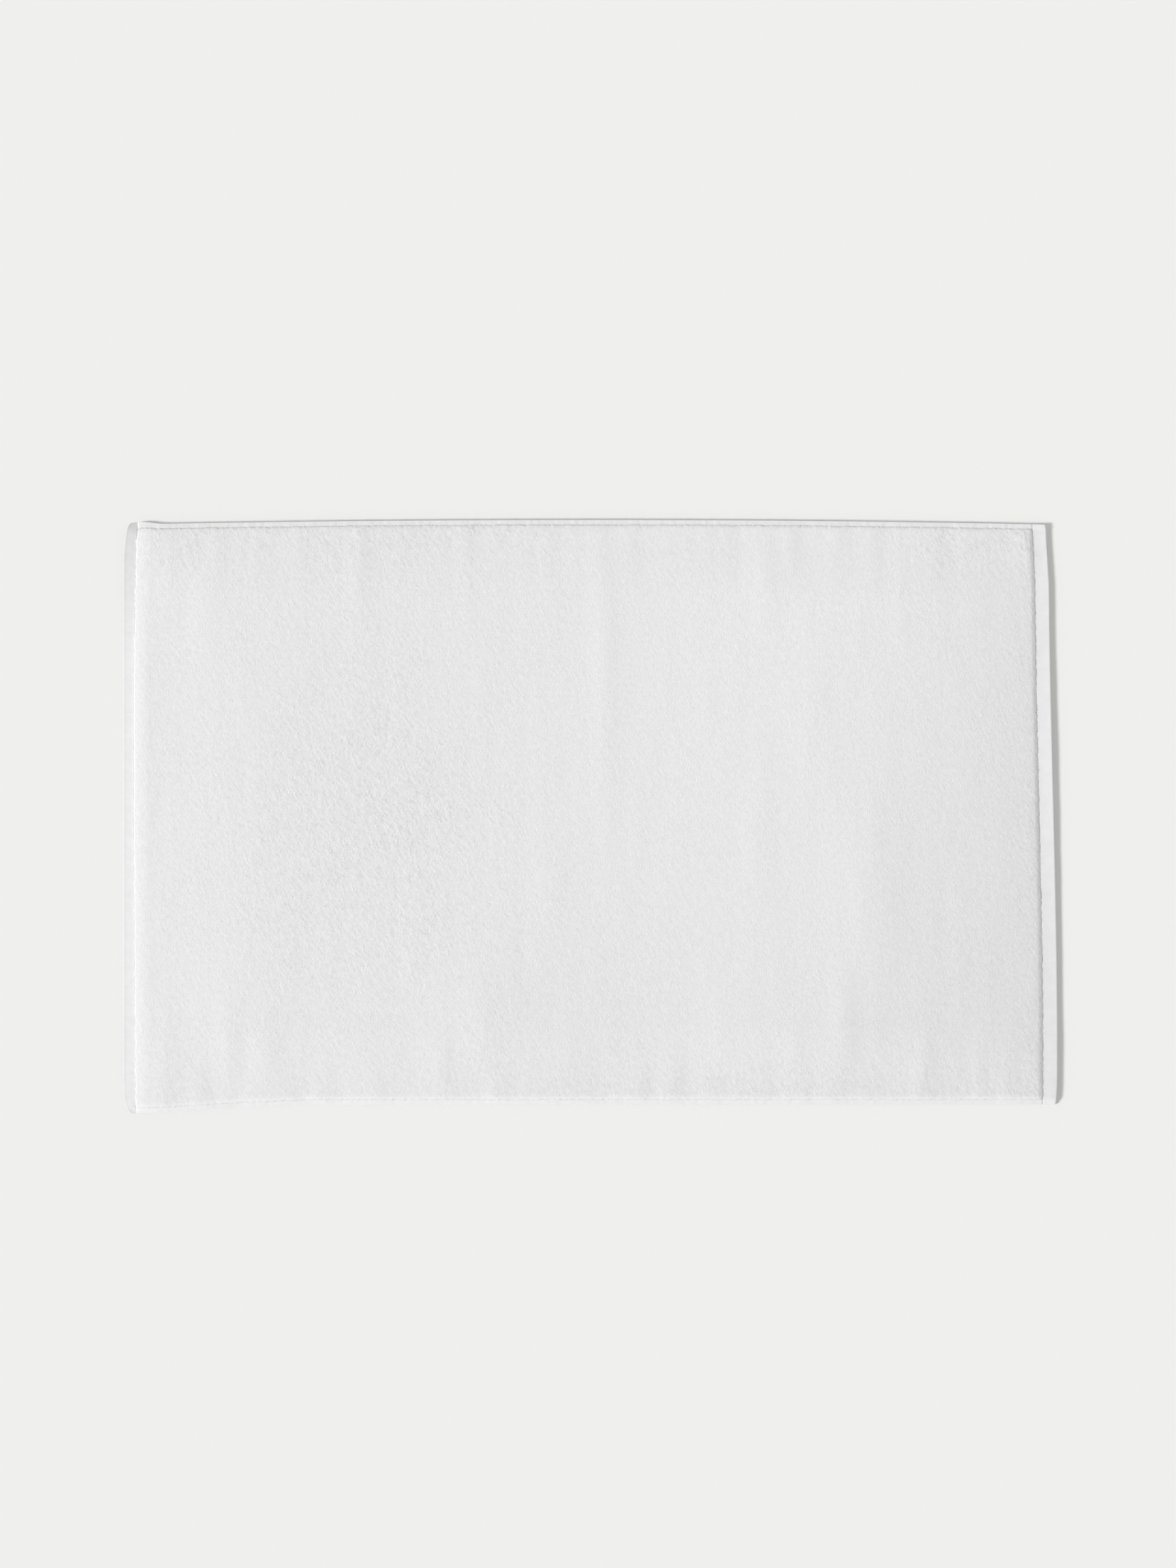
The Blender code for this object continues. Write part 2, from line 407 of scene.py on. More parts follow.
def left_widening(x, y):
    """How far the cloth moves to the right where the left hem is wider than in the middle of its run."""
    to_back_end, to_front_end = LEFT_WIDENING
    back_share = np.clip((y - BACK_WIDENING_START) / (HALF_WIDTH - BACK_WIDENING_START), 0, 1)
    front_share = np.clip(-y / HALF_WIDTH, 0, 1)
    over_hem = np.clip((x + HALF_LENGTH) / HEM_WIDTHS["left"], 0, 1)
    into_pile = bell(np.maximum(0, x - pile_low.x) / WIDENING_FADE)
    return (to_back_end * back_share**BACK_WIDENING_POWER + to_front_end * front_share) * over_hem * into_pile


def laid(x, y):
    """Where a point of the straight, flat mat lies on the floor."""
    towards_back = (y + HALF_WIDTH) / (2 * HALF_WIDTH)
    towards_front = 1 - towards_back
    end = x / HALF_LENGTH
    right_end = np.maximum(0, end)
    lean = eased((towards_back - PULL_START) / (PULL_END - PULL_START))
    tuck = eased((y - HALF_WIDTH + TUCK_LENGTH) / TUCK_LENGTH)
    pulled_in = BACK_RIGHT_PULL * lean * right_end**2 + BACK_RIGHT_TUCK * tuck * right_end**8
    x_laid = x + left_widening(x, y) - pulled_in
    towards_left_corner = eased((-end - FRONT_DRAW_START) / (1 - FRONT_DRAW_START))
    drawn = FRONT_CREEP + FRONT_LEFT_DRAW * towards_left_corner**2
    y_laid = y - BACK_BOW * towards_back * end**2 - drawn * towards_front**2
    return x_laid, y_laid


def fullness(x, y):
    """The broad rise of the mat's middle, in two steps from the left, with a fall to the right hem."""
    front_part = eased(0.5 - y / (2 * HALF_WIDTH) * FRONT_CHANGE)
    from_left = x + HALF_LENGTH - HEM_WIDTHS["left"]
    to_right = HALF_LENGTH - HEM_WIDTHS["right"] - x
    first_step = LEFT_RISE * eased(from_left / LEFT_RISE_LENGTH)
    second_step = MIDDLE_RISE * eased((x - MIDDLE_RISE_START) / MIDDLE_RISE_LENGTH)
    fall_length = RIGHT_FALL * (1 + FRONT_EXTRA_FALL * front_part)
    fallen = 1 - np.clip(to_right / fall_length, 0, 1)
    rise = (first_step + second_step) * (1 + FRONT_EXTRA_RISE * front_part)
    return rise * (1 - fallen**2) * eased((HALF_WIDTH - np.abs(y)) / EDGE_FADE)


def ripples(x, y, kind):
    """Shallow ripples that never go below the flat cloth."""
    return kind[0] + patches(x, y, kind)


def lift(x, y):
    """How far the cloth stands off its flat lie."""
    height = fullness(x, y) + sum(spot(x, y, fold) for fold in FOLDS)
    height = height + ripples(x, y, BACK_RIPPLES) * bell((HALF_WIDTH - y) / RIPPLE_REACH)
    height = height + ripples(x, y, FRONT_RIPPLES) * bell((HALF_WIDTH + y) / RIPPLE_REACH)
    height = height + ripples(x, y, ALL_RIPPLES)
    to_edge = np.minimum(HALF_LENGTH - np.abs(x), HALF_WIDTH - np.abs(y))
    return height * eased((to_edge + LIFT_OUTSIDE) / LIFT_LENGTH)


def pressed(x, y):
    """The share of its thickness that the mat keeps: less beside the left hem and at the front hem."""
    into_pile = np.clip((x - pile_low.x) / LEFT_PRESS_REACH, 0, 1)
    over_front = np.clip((y + HALF_WIDTH) / HEM_WIDTHS["front"], 0, 1)
    return (1 - LEFT_PRESS * (1 - into_pile) ** 2) * (1 - FRONT_PRESS * (1 - over_front))


def placed(x, y, z):
    """Where a point of the straight, flat mat ends up, as one array of places."""
    x_laid, y_laid = laid(x, y)
    near_back = eased((y - HALF_WIDTH + CORNER_LUMP_LENGTH) / CORNER_LUMP_LENGTH)
    lump = CORNER_LUMP * bell((x - CORNER_LUMP_X) / CORNER_LUMP_HALF_WIDTH) * near_back
    return np.stack([x_laid, y_laid + lump, z * pressed(x, y) + lift(x, y)], axis=-1)


# ---------------------------------------------------------------- grids


def grid_quads(numbers):
    """The faces of a grid of point numbers, facing up when y grows with the row."""
    corners = [numbers[:-1, :-1], numbers[:-1, 1:], numbers[1:, 1:], numbers[1:, :-1]]
    return np.stack(corners, axis=-1).reshape(-1, 4)


def panel_faces(columns, rows, step_x, step_y):
    """The faces of a fine upper grid and the coarse grid below it, and of the walls that join their edges."""
    fine = np.arange((columns + 1) * (rows + 1)).reshape(rows + 1, columns + 1)
    shape = (rows // step_y + 1, columns // step_x + 1)
    coarse = fine.size + np.arange(shape[0] * shape[1]).reshape(shape)
    long_walls = []
    for i in range(shape[1] - 1):
        stretch = slice(i * step_x, (i + 1) * step_x + 1)
        long_walls.append([*fine[0, stretch][::-1], coarse[0, i], coarse[0, i + 1]])
        long_walls.append([*fine[-1, stretch], coarse[-1, i + 1], coarse[-1, i]])
    short_walls = []
    for j in range(shape[0] - 1):
        stretch = slice(j * step_y, (j + 1) * step_y + 1)
        short_walls.append([*fine[stretch, 0], coarse[j + 1, 0], coarse[j, 0]])
        short_walls.append([*fine[stretch, -1][::-1], coarse[j, -1], coarse[j + 1, -1]])
    return [grid_quads(fine), grid_quads(coarse)[:, ::-1]], [np.array(long_walls), np.array(short_walls)]


def inside_hems(columns, rows):
    """A grid of points that fills the straight mat inside its hems, with its corners rounded."""
    centre_x = (pile_low.x + pile_high.x) / 2
    centre_y = (pile_low.y + pile_high.y) / 2
    half_x = (pile_high.x - pile_low.x) / 2
    half_y = (pile_high.y - pile_low.y) / 2
    x, y = np.meshgrid(np.linspace(-half_x, half_x, columns + 1), np.linspace(-half_y, half_y, rows + 1))
    u = np.clip((np.abs(x) - half_x + CORNER_RADIUS) / CORNER_RADIUS, 0, 1)
    v = np.clip((np.abs(y) - half_y + CORNER_RADIUS) / CORNER_RADIUS, 0, 1)
    x_round = x + np.sign(x) * CORNER_RADIUS * u * (np.sqrt(1 - v**2 / 2) - 1)
    y_round = y + np.sign(y) * CORNER_RADIUS * v * (np.sqrt(1 - u**2 / 2) - 1)
    return centre_x + x_round, centre_y + y_round


def to_edges(x, y):
    """How far a point is from each edge of the pile, never less than nothing."""
    return {
        "left": np.maximum(0, x - pile_low.x),
        "right": np.maximum(0, pile_high.x - x),
        "back": np.maximum(0, pile_high.y - y),
        "front": np.maximum(0, y - pile_low.y),
    }


def pile_share(x, y):
    """The share of its full height that the pile has at a point: less near its rounded edges."""
    share = 1.0
    for side, distance in to_edges(x, y).items():
        for width, kept in (SHOULDERS[side], RIMS[side]):
            inwards = np.clip(distance / width, 0, 1)
            share = share * (kept + (1 - kept) * (1 - (1 - inwards) ** 2))
    return share


def leaned_out(x, y):
    """Where the pile's outermost points lie when they lean out over the hems."""
    out = {side: OVERHANGS[side] * bell(distance / RAGGED_REACH) for side, distance in to_edges(x, y).items()}
    return x + out["right"] - out["left"], y + out["back"] - out["front"]


# ---------------------------------------------------------------- pile


def loop_strength(x, y):
    """How open the loops stand over the mat's plane."""
    strength = LOOP_STRENGTH + spot(x, y, FLUFFED) + spot(x, y, FLATTENED) + patches(x, y, FLUFF_PATCHES)
    left_of_back = eased((BACK_FLUFF_STOP - x) / BACK_FLUFF_STOP_FADE)
    right_of_back = eased((x - BACK_FLUFF_RESTART) / BACK_FLUFF_RESTART_FADE)
    right_of_front = eased((x - FRONT_FLUFF_START) / FRONT_FLUFF_START_FADE)
    for to_edge, (amount, reach), part in (
        (HALF_WIDTH - y, BACK_FLUFF, left_of_back + right_of_back),
        (HALF_WIDTH + y, FRONT_FLUFF, right_of_front),
        (HALF_LENGTH - x, RIGHT_FLUFF, 1),
    ):
        strength = strength + amount * bell(to_edge / reach) * part
    return strength


def loop_relief(columns, rows, seed):
    """The loops over a pile's grid: their height, 0 to about 1, and how far they lie aside of their rib."""
    rng = np.random.default_rng(seed)
    rib = np.arange(columns + 1)[None, :] // COLUMNS_PER_RIB
    on_rib = np.arange(columns + 1)[None, :] % COLUMNS_PER_RIB == 0
    row = np.arange(rows + 1)[:, None] + rib % 2
    phase = row % ROWS_PER_PICK
    pick = row // ROWS_PER_PICK
    single = rng.normal(0, 1, (pick.max() + 3, rib.max() + 2))
    below = single[1:-1, :-1]
    aside_below = single[1:-1, 1:] + 0.5 * single[:-2, 1:]
    in_streaks = (single[2:, :-1] + STREAK_STRAIGHT * below + STREAK_ASIDE * aside_below) / STREAK_NORM
    size = np.clip(LOOP_SIZE + LOOP_SIZE_SPREAD * in_streaks, *LOOP_SIZES)
    lean = rng.normal(0, 1, in_streaks.shape)[pick, rib]
    crown = np.array(LOOP_PROFILE)[phase] * size[pick, rib]
    height = np.where(on_rib, crown, VALLEY_HEIGHT * rng.uniform(0, 1, phase.shape))
    slant = LOOP_SLANT * np.array([1, 0, -1])[phase] + LOOP_SLANT_SPREAD * lean
    return height, np.where(on_rib, slant, VALLEY_SPREAD * lean)


def top_terry(material):
    """The upper pile: a closed sheet with a fine face of crowns and valleys and a coarse backing."""
    step_x = RIBS_TO_A_BACKING_CELL * COLUMNS_PER_RIB
    step_y = PICKS_TO_A_BACKING_CELL * ROWS_PER_PICK
    columns = round((pile_high.x - pile_low.x) / RIB_PITCH) * COLUMNS_PER_RIB // step_x * step_x
    rows = round((pile_high.y - pile_low.y) / PICK_PITCH) * ROWS_PER_PICK // step_y * step_y
    x, y = inside_hems(columns, rows)
    height, aside = loop_relief(columns, rows, TOP_SEED)
    ragged = bell(np.minimum.reduce(list(to_edges(x, y).values())) / RAGGED_REACH)
    x_out, y_out = leaned_out(x, y)
    x_face = x_out + aside + ragged * patches(x, y, RAGGED_ALONG_X)
    y_face = y_out + ragged * patches(x, y, RAGGED_ALONG_Y)
    body = PILE_HEIGHT + LOOP_HEIGHT * loop_strength(x, y) * height
    face = placed(x_face, y_face, cloth_high.z + (GAP + body) * pile_share(x, y)).reshape(-1, 3)
    x_low, y_low = x[::step_y, ::step_x], y[::step_y, ::step_x]
    low = placed(x_low, y_low, cloth_high.z + GAP / 2 * pile_share(x_low, y_low)).reshape(-1, 3)
    panels, walls = panel_faces(columns, rows, step_x, step_y)
    return add_mesh("top_terry", np.concatenate([face, low]), panels, walls, material)


def underside_terry(material):
    """The lower pile, with one point to a loop on its face and a coarse backing."""
    step = RIBS_TO_A_BACKING_CELL
    columns = round((pile_high.x - pile_low.x) / RIB_PITCH) // step * step
    rows = round((pile_high.y - pile_low.y) / PICK_PITCH) // step * step
    x, y = inside_hems(columns, rows)
    sizes = np.random.default_rng(UNDERSIDE_SEED).uniform(LOWEST_UNDERSIDE_LOOP, 1, x.shape)
    crowns = sizes * (np.indices(x.shape).sum(axis=0) % 2)
    full = cloth_low.z - GAP / 2
    z_face = full * (1 - pile_share(x, y)) + LOOP_HEIGHT * (1 - crowns) * pile_share(x, y)
    face = placed(x, y, z_face).reshape(-1, 3)
    high = placed(x[::step, ::step], y[::step, ::step], full).reshape(-1, 3)
    panels, walls = panel_faces(columns, rows, step, step)
    panels = [group[:, ::-1] for group in panels]
    walls = [group[:, ::-1] for group in walls]
    return add_mesh("underside_terry", np.concatenate([face, high]), panels, walls, material)


def ground_weave(material):
    """The thin flat weave between the two piles."""
    columns, rows = 320, 200
    x_line = np.linspace(pile_low.x, pile_high.x, columns + 1)
    y_line = np.linspace(pile_low.y, pile_high.y, rows + 1)
    x, y = np.meshgrid(x_line, y_line)
    upper = placed(x, y, cloth_high.z).reshape(-1, 3)
    lower = placed(x, y, cloth_low.z).reshape(-1, 3)
    panels, walls = panel_faces(columns, rows, 1, 1)
    return add_mesh("ground_weave", np.concatenate([upper, lower]), panels, walls, material)


# ---------------------------------------------------------------- yarn and thread


def tubes(name, paths, across, radius, material, *, sides):
    """Closed round tubes. paths is (tube, point, 3), and across has one unit vector square to each path."""
    forward = np.gradient(paths, axis=1)
    forward /= np.linalg.norm(forward, axis=2, keepdims=True)
    aside = np.broadcast_to(across[:, None, :], paths.shape)
    upward = np.cross(aside, forward)
    upward /= np.linalg.norm(upward, axis=2, keepdims=True)
    angles = np.arange(sides) * 2 * math.pi / sides
    ring = aside[:, :, None] * np.cos(angles)[:, None] + upward[:, :, None] * np.sin(angles)[:, None]
    points = paths[:, :, None] + radius * ring
    numbers = np.arange(points.size // 3).reshape(points.shape[:3])
    after = np.roll(numbers, -1, axis=2)
    walls = np.stack([numbers[:, :-1], numbers[:, 1:], after[:, 1:], after[:, :-1]], axis=-1).reshape(-1, 4)
    caps = np.concatenate([numbers[:, 0], numbers[:, -1][:, ::-1]])
    return add_mesh(name, points.reshape(-1, 3), [walls], [caps], material)


def edge_loops(material):
    """The outermost loops of the upper pile: each lies down over the hem as a small hairpin of yarn."""
    rng = np.random.default_rng(EDGE_LOOP_SEED)
    turn = np.linspace(0, math.pi, HAIRPIN_POINTS)[None, :]
    paths = []
    for side, outward in (("left", 180), ("right", 0), ("back", 90), ("front", -90)):
        upright = side in ("left", "right")
        low, high = (pile_low.y, pile_high.y) if upright else (pile_low.x, pile_high.x)
        edge = {"left": pile_low.x, "right": pile_high.x, "back": pile_high.y, "front": pile_low.y}[side]
        along = np.arange(low + CORNER_RADIUS, high - CORNER_RADIUS, HAIRPIN_SPACING)
        along = (along + rng.normal(0, HAIRPIN_SCATTER, len(along)))[:, None]
        foot = edge + (1 if side in ("left", "front") else -1) * HAIRPIN_INSET
        x, y = (foot, along) if upright else (along, foot)
        heading = np.radians(outward + rng.normal(0, HAIRPIN_TURN, len(along)))[:, None]
        out = rng.uniform(*EDGE_LOOPS[side], len(along))[:, None] * np.sin(turn)
        aside = HAIRPIN_HALF_WIDTH * np.cos(turn)
        x_path = x + out * np.cos(heading) - aside * np.sin(heading)
        y_path = y + out * np.sin(heading) + aside * np.cos(heading)
        radii_up = rng.uniform(*HAIRPIN_HEIGHTS[side], len(along))[:, None]
        paths.append(placed(x_path, y_path, cloth_high.z + YARN_RADIUS * radii_up + 0 * turn))
    paths = np.concatenate(paths)
    across = np.tile([0.0, 0.0, 1.0], (len(paths), 1))
    return tubes("edge_loops", paths, across, YARN_RADIUS, material, sides=5)


def seam(side, upper, material):
    """One thread of a hem's lockstitch: it lies on the cloth and dips into it between stitches."""
    start, end = hem_run(side)
    stitches = round((end - start - 2 * SEAM_END) / STITCH)
    along = np.linspace(start + SEAM_END, end - SEAM_END, stitches * POINTS_PER_STITCH + 1)
    shown = np.abs(np.sin(np.arange(len(along)) * math.pi / POINTS_PER_STITCH)) ** 0.5
    if upper:
        height = hem_high.z - NEEDLE_DEPTH + NEEDLE_RISE * shown
    else:
        height = hem_low.z + BOBBIN_DEPTH - BOBBIN_FALL * shown
    path = hem_point(side, HEM_WIDTHS[side] - SEAM_INSET + 0 * along, along, height)
    path[:, 2] = np.maximum(path[:, 2], THREAD_RADIUS)
    across = np.array([[1.0, 0, 0]]) if side in ("left", "right") else np.array([[0, 1.0, 0]])
    kind = "needle" if upper else "bobbin"
    piece = tubes(f"{side}_{kind}_stitches", path[None], across, THREAD_RADIUS, material, sides=6)
    return on_frame(piece, "sewing_thread", f"{side}_{kind}_thread")


# ---------------------------------------------------------------- hems


def arc(centre, across, height, start, end, steps):
    """Points on an elliptical arc between two angles in degrees, both ends included."""
    angles = np.radians(np.linspace(start, end, steps + 1))
    return np.stack([centre[0] + across * np.cos(angles), centre[1] + height * np.sin(angles)], axis=-1)


def straight(start, end, steps):
    """Points on a straight line, without its end."""
    share = np.linspace(0, 1, steps + 1)[:-1, None]
    return np.array(start) * (1 - share) + np.array(end) * share


def hem_section(width):
    """The twice-folded strip in section: rows of (distance from the mat's edge, height)."""
    outer_height = HEM_HEIGHT / 2
    outer = (PRESSED, hem_low.z + outer_height)
    inner_height = CLOTH + GAP / 2
    inner = (width - PRESSED, hem_low.z + inner_height)
    tucked_top = inner[1] + inner_height
    tucked_bottom = inner[1] + GAP / 2
    hollow = PRESSED / 4
    return np.concatenate([
        straight((width, hem_high.z), (PRESSED, hem_high.z), 12),
        arc(outer, PRESSED, outer_height, 90, 270, 10)[:-1],
        straight((PRESSED, hem_low.z), (inner[0], hem_low.z), 6),
        arc(inner, PRESSED, inner_height, -90, 90, 6)[:-1],
        straight((inner[0], tucked_top), (TUCKED_END, tucked_top), 4),
        straight((TUCKED_END, tucked_top), (TUCKED_END, tucked_bottom), 1),
        straight((TUCKED_END, tucked_bottom), (inner[0], tucked_bottom), 4),
        arc(inner, hollow, GAP / 2, 90, -90, 4)[:-1],
        straight((inner[0], hem_low.z + CLOTH), (PRESSED, hem_low.z + CLOTH), 4),
        arc(outer, hollow, outer_height - CLOTH, 270, 90, 6)[:-1],
        straight((PRESSED, hem_high.z - CLOTH), (width, hem_high.z - CLOTH), 4),
        [(width, hem_high.z - CLOTH)],
    ])


def hem_run(side):
    """Where the hem of an edge starts and ends."""
    if side in ("left", "right"):
        return -HALF_WIDTH, HALF_WIDTH
    return -HALF_LENGTH + HEM_WIDTHS["left"], HALF_LENGTH - HEM_WIDTHS["right"]


def corner_taper(side, along):
    """How far the outer edge of an end hem is drawn in near its ends."""
    drawn_in = 0 * along
    for (tapered_side, end), (length, depth) in CORNER_TAPERS.items():
        if side == tapered_side:
            near_end = np.clip(1 - (HALF_WIDTH - end * along) / length, 0, 1)
            drawn_in = drawn_in + depth * (1 - np.sqrt(1 - near_end**2))
    return drawn_in


def hem_rise(side, share, along):
    """How much higher a hem's cloth lies than in the plain section, at a share of its width from its edge."""
    ripple = BACK_HEM_RIPPLE if side == "back" else HEM_RIPPLE
    seed = HEM_SEED + SIDES.index(side)
    rise = ripple * noise(along, along, HEM_RIPPLE_CELL, HEM_RIPPLE_CELL, seed) * eased(4 - 4 * share)
    if side == "left":
        curled = np.clip(1 - (HALF_WIDTH - along) / CURL_LENGTH, 0, 1) ** CURL_POWER
        rolled = np.clip(1 - (HALF_WIDTH - along) / ROLL_LENGTH, 0, 1) ** ROLL_POWER
        towards_front = np.clip(1 - (HALF_WIDTH + along) / FRONT_CURL_LENGTH, 0, 1)
        outer = CURL_HEIGHT * curled + FRONT_CURL_HEIGHT * towards_front
        return rise + LEFT_LIP * eased(1 - 5 * share) + outer * (1 - share) - ROLL_DEPTH * rolled
    if side == "right":
        sag = RIGHT_SAG * np.sin(RIGHT_SAG_TURN * share)
        at_back_end = eased((along - HALF_WIDTH + SQUARE_END_START) / SQUARE_END_STEP)
        square = SQUARE_END * at_back_end * eased((1 - share) / SQUARE_END_FADE)
        waves = RIGHT_LIP_WAVES * noise(along, along, RIGHT_LIP_CELL, RIGHT_LIP_CELL, RIGHT_LIP_SEED)
        bulge = RIGHT_BULGE * bell((along - RIGHT_BULGE_Y) / RIGHT_BULGE_HALF_LENGTH)
        return rise - sag + square + (RIGHT_LIP + waves + bulge) * (1 - share)
    return rise


def hem_point(side, distance, along, height):
    """Where a point of a hem's section lies, from its distance to the mat's edge and its place along it."""
    top = np.clip((height - hem_low.z) / HEM_HEIGHT, 0, 1)
    share = np.clip(distance / HEM_WIDTHS[side], 0, 1)
    set_back = TURNED_UNDER * (1 - top) ** 2 + corner_taper(side, along)
    distance = distance + set_back * (1 - share)
    if side in ("left", "right"):
        sign = -1 if side == "left" else 1
        x, y = sign * (HALF_LENGTH - distance), along + 0 * distance
    else:
        sign = -1 if side == "front" else 1
        x, y = along + 0 * distance, sign * (HALF_WIDTH - distance)
    if side == "left":
        inner, outer = LEFT_HEM_PRESS
        height = height * (1 - outer + (outer - inner) * share)
    points = placed(x, y, height)
    followed = 1 if side == "left" else np.clip(LOWER_CLOTH_RISE + top, 0, 1)
    points[..., 2] += hem_rise(side, share, along) * followed
    points[..., 2] = np.maximum(points[..., 2], 0)
    return points


def hem(side, material):
    """One folded border of the cloth."""
    start, end = hem_run(side)
    along = np.linspace(start, end, round((end - start) / HEM_STEP) + 1)[:, None]
    section = hem_section(HEM_WIDTHS[side])
    points = hem_point(side, section[None, :, 0] + 0 * along, along, section[None, :, 1] + 0 * along)
    numbers = np.arange(points.size // 3).reshape(points.shape[:2])
    after = np.roll(numbers, -1, axis=1)
    walls = np.stack([numbers[:-1], numbers[1:], after[1:], after[:-1]], axis=-1)
    cloth_faces = walls[:, :-1].reshape(-1, 4)
    cut_faces = walls[:, -1]
    ends = np.array([numbers[0], numbers[-1][::-1]])
    if side in ("left", "back"):
        cloth_faces, cut_faces, ends = cloth_faces[:, ::-1], cut_faces[:, ::-1], ends[:, ::-1]
    node = f"{side}_end_hem" if side in ("left", "right") else f"{side}_side_hem"
    piece = add_mesh(f"{side}_hem", points.reshape(-1, 3), [cloth_faces], [cut_faces, ends], material)
    return on_frame(piece, "hem_weave", node)


# ---------------------------------------------------------------- materials


def new_material(name):
    """A material with its nodes and its shader."""
    material = bpy.data.materials.new(name)
    material.use_nodes = True
    tree = material.node_tree
    return material, tree, tree.nodes["Principled BSDF"]


def place_of(tree):
    """A point's place in metres."""
    return tree.nodes.new("ShaderNodeTexCoord").outputs["Object"]


def noise_texture(tree, place, *, scale, detail):
    """A noise pattern with cells of about 1 / scale metres."""
    node = tree.nodes.new("ShaderNodeTexNoise")
    node.inputs["Scale"].default_value = scale
    node.inputs["Detail"].default_value = detail
    tree.links.new(place, node.inputs["Vector"])
    return node.outputs["Fac"]


def grey_between(tree, value, *, low, high):
    """A grey that runs from low to high over the values that a noise pattern mostly has."""
    ramp = tree.nodes.new("ShaderNodeValToRGB")
    for element, position, grey in zip(ramp.color_ramp.elements, (0.3, 0.7), (low, high)):
        element.position = position
        element.color = (grey, grey, grey, 1)
    tree.links.new(value, ramp.inputs["Fac"])
    return ramp.outputs["Color"]


def bumped(tree, height, *, strength, distance, under=None):
    """A normal bent by a height pattern, on top of another bent normal if one is given."""
    node = tree.nodes.new("ShaderNodeBump")
    node.inputs["Strength"].default_value = strength
    node.inputs["Distance"].default_value = distance
    tree.links.new(height, node.inputs["Height"])
    if under:
        tree.links.new(under, node.inputs["Normal"])
    return node.outputs["Normal"]


def loop_pattern(tree, place):
    """Rounded knobs about as large as the pile's loops, set at random."""
    node = tree.nodes.new("ShaderNodeTexVoronoi")
    node.feature = "SMOOTH_F1"
    node.inputs["Scale"].default_value = KNOBS_PER_METRE
    node.inputs["Smoothness"].default_value = 0.4
    tree.links.new(place, node.inputs["Vector"])
    return node.outputs["Distance"]


def with_painted_falloff_shade(tree, place, colour):
    """A colour painted slightly darker towards the mat's front right corner: painted shade where the light
    falls off.
    """
    slant = tree.nodes.new("ShaderNodeVectorMath")
    slant.operation = "DOT_PRODUCT"
    slant.inputs[1].default_value = PAINTED_SHADE_DIRECTION
    tree.links.new(place, slant.inputs[0])
    shade = tree.nodes.new("ShaderNodeMapRange")
    shade.inputs["From Max"].default_value = PAINTED_SHADE_LENGTH
    shade.inputs["To Min"].default_value = 1.0
    shade.inputs["To Max"].default_value = DARKEST_PAINTED_SHADE
    tree.links.new(slant.outputs["Value"], shade.inputs["Value"])
    scaled = tree.nodes.new("ShaderNodeVectorMath")
    scaled.operation = "SCALE"
    tree.links.new(colour, scaled.inputs[0])
    tree.links.new(shade.outputs["Result"], scaled.inputs["Scale"])
    return scaled.outputs["Vector"]


def terry_material():
    """Bleached cotton loops: matt, with a soft sheen and fine fibres."""
    material, tree, shader = new_material("terry_loops")
    place = place_of(tree)
    unshaded = grey_between(tree, noise_texture(tree, place, scale=300, detail=3), low=0.770, high=0.818)
    # painted shade: the colour darkens towards the front right corner, where the light falls off
    tree.links.new(with_painted_falloff_shade(tree, place, unshaded), shader.inputs["Base Color"])
    knobs = bumped(tree, loop_pattern(tree, place), strength=0.23, distance=0.0006)
    fibres = noise_texture(tree, place, scale=2600, detail=2)
    fibrous = bumped(tree, fibres, strength=0.35, distance=0.0002, under=knobs)
    tree.links.new(fibrous, shader.inputs["Normal"])
    shader.inputs["Roughness"].default_value = 0.95
    shader.inputs["Sheen Weight"].default_value = 0.2
    shader.inputs["Sheen Roughness"].default_value = 0.5
    return material


def weave_material(name):
    """A fine, flat cotton weave with a slanting twill line."""
    material, tree, shader = new_material(name)
    place = place_of(tree)
    unshaded = grey_between(tree, noise_texture(tree, place, scale=120, detail=3), low=0.772, high=0.810)
    # painted shade: the colour darkens towards the front right corner, where the light falls off
    tree.links.new(with_painted_falloff_shade(tree, place, unshaded), shader.inputs["Base Color"])
    twill = tree.nodes.new("ShaderNodeTexWave")
    twill.bands_direction = "DIAGONAL"
    twill.inputs["Scale"].default_value = 300
    tree.links.new(place, twill.inputs["Vector"])
    lines = bumped(tree, twill.outputs["Fac"], strength=0.3, distance=0.0001)
    tree.links.new(lines, shader.inputs["Normal"])
    shader.inputs["Roughness"].default_value = 0.85
    shader.inputs["Sheen Weight"].default_value = 0.15
    return material


def thread_material():
    """Twisted sewing cotton."""
    material, tree, shader = new_material("sewing_thread")
    fibres = noise_texture(tree, place_of(tree), scale=1800, detail=2)
    tree.links.new(grey_between(tree, fibres, low=0.80, high=0.85), shader.inputs["Base Color"])
    shader.inputs["Roughness"].default_value = 0.6
    return material


def floor_material():
    """A plain pale floor."""
    material, _, shader = new_material("pale_floor")
    shader.inputs["Base Color"].default_value = FLOOR_COLOUR
    shader.inputs["Roughness"].default_value = 0.9
    shader.inputs["Specular IOR Level"].default_value = 0.0
    return material


# ---------------------------------------------------------------- stage


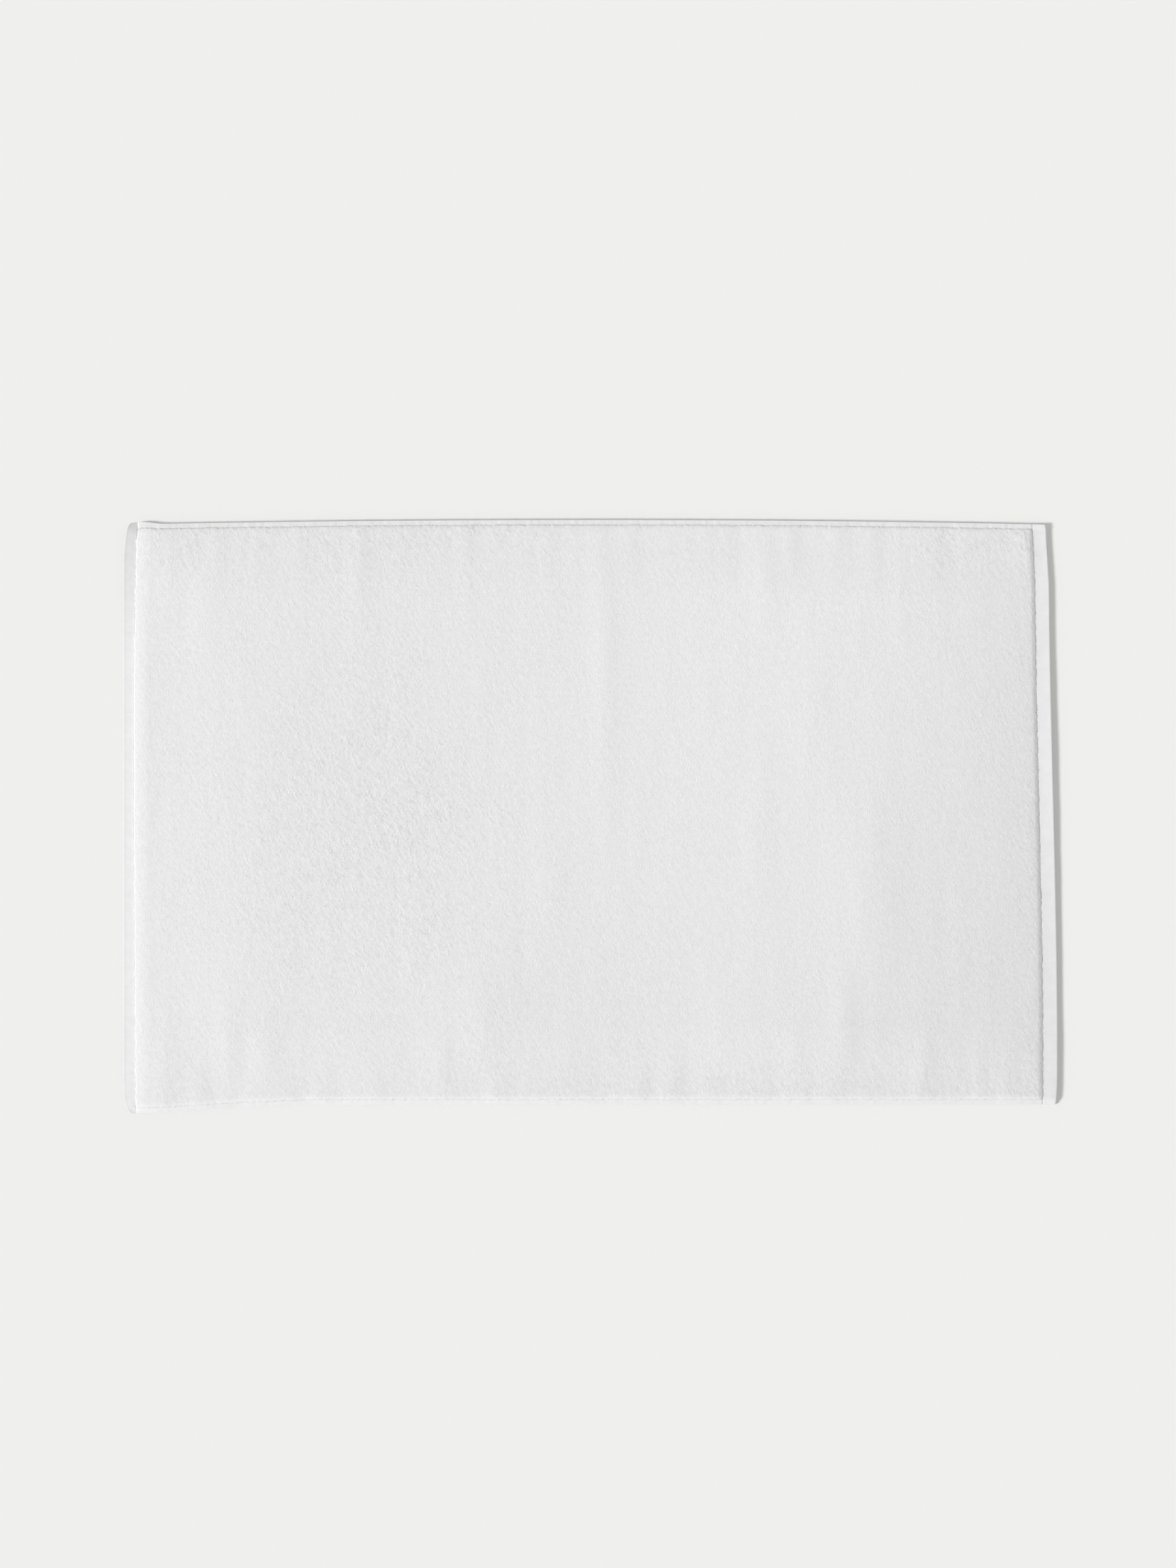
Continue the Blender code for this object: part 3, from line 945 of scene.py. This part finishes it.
def make_camera():
    """A long lens straight above the mat."""
    data = bpy.data.cameras.new("camera")
    data.sensor_width = SENSOR
    data.lens = SENSOR * CAMERA_HEIGHT / VIEW_LENGTH
    data.clip_end = 100
    camera = bpy.data.objects.new("camera", data)
    camera.location = (*CAMERA_AIM, CAMERA_HEIGHT)
    bpy.context.scene.collection.objects.link(camera)
    bpy.context.scene.camera = camera


def make_key():
    """A wide, low key light from the left."""
    data = bpy.data.lights.new("key", "SUN")
    data.energy = KEY_STRENGTH
    data.angle = math.radians(KEY_ANGLE)
    key = bpy.data.objects.new("key", data)
    key.rotation_euler = (0, math.radians(KEY_ELEVATION - 90), math.radians(KEY_AZIMUTH))
    bpy.context.scene.collection.objects.link(key)


def make_surroundings():
    """Pale, even surroundings, brightest at the height of the eye."""
    world = bpy.data.worlds.new("surroundings")
    world.use_nodes = True
    tree = world.node_tree
    direction = tree.nodes.new("ShaderNodeTexCoord").outputs["Generated"]
    split = tree.nodes.new("ShaderNodeSeparateXYZ")
    tree.links.new(direction, split.inputs["Vector"])
    strength = tree.nodes.new("ShaderNodeMapRange")
    strength.inputs["From Min"].default_value = HORIZON_BAND
    strength.inputs["To Min"].default_value = HORIZON_STRENGTH
    strength.inputs["To Max"].default_value = ZENITH_STRENGTH
    tree.links.new(split.outputs["Z"], strength.inputs["Value"])
    shader = tree.nodes["Background"]
    shader.inputs["Color"].default_value = (1, 1, 1, 1)
    tree.links.new(strength.outputs["Result"], shader.inputs["Strength"])
    bpy.context.scene.world = world


def make_floor():
    """The floor that the mat lies on."""
    half = FLOOR_SIZE / 2
    points = np.array([(-half, -half, 0), (half, -half, 0), (half, half, 0), (-half, half, 0)])
    floor = add_mesh("floor", points, [], [np.array([[0, 1, 2, 3]])], floor_material())


def make_mat():
    """Every piece of the mat."""
    terry = terry_material()
    weave = weave_material("hem_weave")
    thread = thread_material()
    cloth = on_frame(ground_weave(weave_material("ground_weave")), "ground_weave", "ground_cloth")
    pieces = [
        on_frame(top_terry(terry), "terry_loops", "top_pile"),
        on_frame(underside_terry(terry), "terry_loops", "underside_pile"),
        on_frame(edge_loops(terry), "terry_loops"),
    ]
    for side in SIDES:
        pieces += [hem(side, weave), seam(side, True, thread), seam(side, False, thread)]


bpy.context.scene.view_settings.view_transform = "Standard"
make_camera()
make_key()
make_surroundings()
make_floor()
make_mat()
